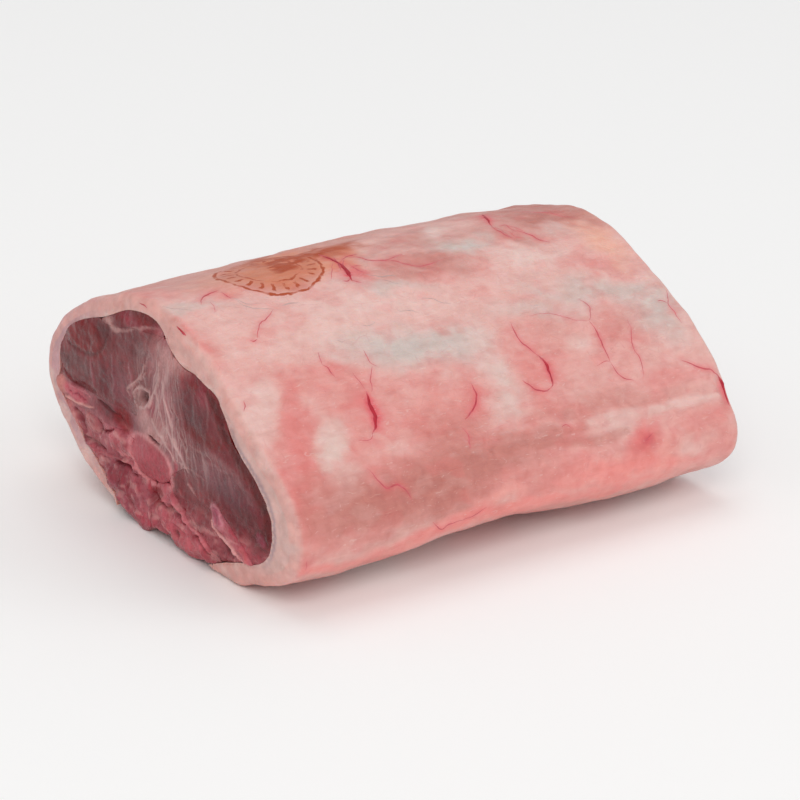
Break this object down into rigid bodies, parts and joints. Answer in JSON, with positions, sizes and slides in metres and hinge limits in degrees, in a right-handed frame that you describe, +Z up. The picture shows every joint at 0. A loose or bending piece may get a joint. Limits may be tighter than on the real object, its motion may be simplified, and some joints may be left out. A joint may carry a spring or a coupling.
{
  "type": "raw lamb short loin",
  "caption": "Raw lamb short loin: both loins on the bone under a fat cover with veins, sawn square across at each end and lying on its belly side.",
  "frame": {"origin": "on the board the loin lies on, under the middle of its bounding box", "axes": "+X along the backbone, from the near cut face to the far one; +Y across, towards the loin with the strap muscle; +Z up, out of the back"},
  "size_m": [0.188, 0.1526, 0.0836],
  "materials": {
    "fat": "moist satin fat, pale pink, with veins",
    "lean": "moist cut muscle, dark mauve red",
    "tenderloin": "moist ragged muscle, pinkish red",
    "bone": "sawn bone with red marrow, satin"
  },
  "bodies": {
    "root": {"fat_cover": "fat", "loin_muscle_left": "lean", "loin_muscle_right": "lean", "strap_muscle": "lean", "tenderloin_right": "tenderloin", "tenderloin_left": "tenderloin", "backbone": "bone", "cross_process_right": "bone"}
  },
  "joints": []
}
